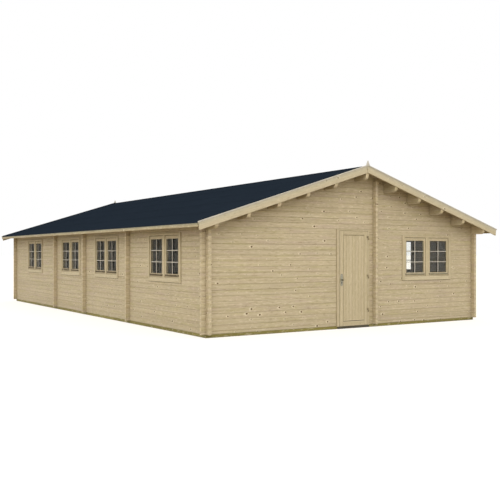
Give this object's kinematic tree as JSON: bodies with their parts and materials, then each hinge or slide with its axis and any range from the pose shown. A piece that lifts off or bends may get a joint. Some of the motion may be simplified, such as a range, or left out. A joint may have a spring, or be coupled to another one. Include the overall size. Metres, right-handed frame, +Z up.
{
  "type": "log cabin",
  "caption": "Single-storey log cabin with interlocked corner logs, a low gable roof on through purlins, casement windows with casings and an outward hinged panelled door.",
  "frame": {"origin": "on the ground at the centre of the footprint", "axes": "+X right as seen from the door gable, +Y from the door gable to the back gable, +Z up"},
  "size_m": [8.44, 14.408, 3.6801],
  "materials": {
    "log_wood": "planed spruce, untreated",
    "joinery_wood": "sanded spruce",
    "trim_wood": "planed spruce",
    "floor_wood": "tongue and groove spruce boards",
    "treated_wood": "pressure treated, green brown",
    "dark_sill": "dark stained hardwood",
    "roofing_felt": "mineral bitumen felt, blue black",
    "window_glass": "clear float glass",
    "hardware": "brushed, zinc plated"
  },
  "bodies": {
    "cabin": {"foundation_beams": "treated_wood", "floor_joists": "treated_wood", "floor_boards": "floor_wood", "front_wall_left": "log_wood", "front_wall_right": "log_wood", "front_gable": "log_wood", "back_wall": "log_wood", "back_gable": "log_wood", "left_wall": "log_wood", "right_wall": "log_wood", "front_cross_logs": "log_wood", "back_cross_logs": "log_wood", "left_cross_logs": "log_wood", "right_cross_logs": "log_wood", "left_eaves_beam": "log_wood", "right_eaves_beam": "log_wood", "ridge_beam": "log_wood", "left_purlins": "log_wood", "right_purlins": "log_wood", "left_roof_boards": "floor_wood", "right_roof_boards": "floor_wood", "left_roofing": "roofing_felt", "right_roofing": "roofing_felt", "front_bargeboards": "trim_wood", "back_bargeboards": "trim_wood", "front_barge_trims": "trim_wood", "back_barge_trims": "trim_wood", "left_fascia": "trim_wood", "right_fascia": "trim_wood", "front_finial": "trim_wood", "back_finial": "trim_wood", "front_window_frame": "joinery_wood", "front_window_sashes": "joinery_wood", "front_window_glass": "window_glass", "left_window_frames": "joinery_wood", "left_window_sashes": "joinery_wood", "left_window_glass": "window_glass", "right_window_frames": "joinery_wood", "right_window_sashes": "joinery_wood", "right_window_glass": "window_glass", "door_frame": "joinery_wood", "door_threshold": "dark_sill", "hinge_pins": "hardware"},
    "door": {"door_leaf": "joinery_wood", "door_hinges": "hardware", "door_handle": "hardware"}
  },
  "joints": [
    {"name": "door_swing", "type": "hinge", "parent": "cabin", "child": "door", "pos_m": [0.3325, -6.824, 1.1], "axis": [0, 0, 1], "range_deg": [0, 110]}
  ]
}
